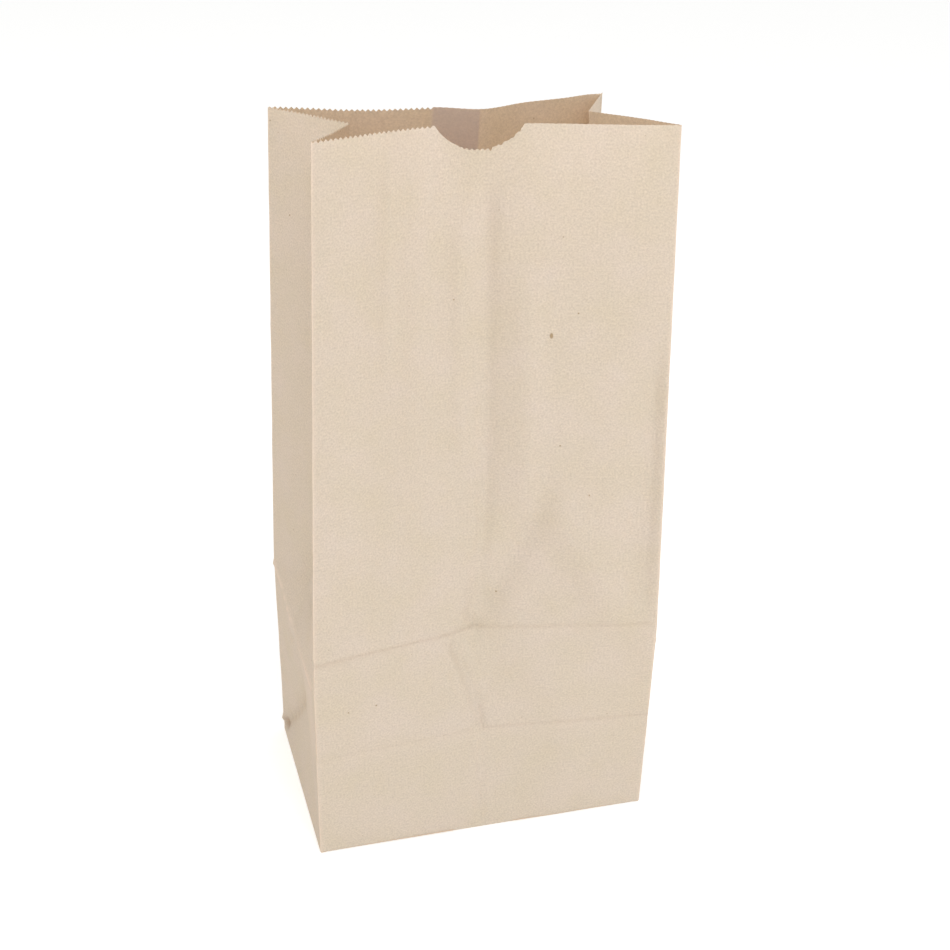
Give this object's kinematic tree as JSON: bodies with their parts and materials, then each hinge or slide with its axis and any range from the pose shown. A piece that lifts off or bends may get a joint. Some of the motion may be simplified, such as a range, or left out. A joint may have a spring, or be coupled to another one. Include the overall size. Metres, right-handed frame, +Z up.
{
  "type": "brown paper lunch bag",
  "caption": "Open self-standing kraft paper lunch bag with a flat folded bottom, gusseted sides, a saw-cut top edge and a thumb notch.",
  "frame": {"origin": "middle of the flat bottom, on the surface the bag stands on", "axes": "+Z up out of the open mouth, -Y out of the front panel with the thumb notch, +X to the right seen from the front"},
  "size_m": [0.1344, 0.0961, 0.2774],
  "materials": {
    "kraft_paper": "matte"
  },
  "bodies": {
    "root": {"paper_bag": "kraft_paper"}
  },
  "joints": []
}
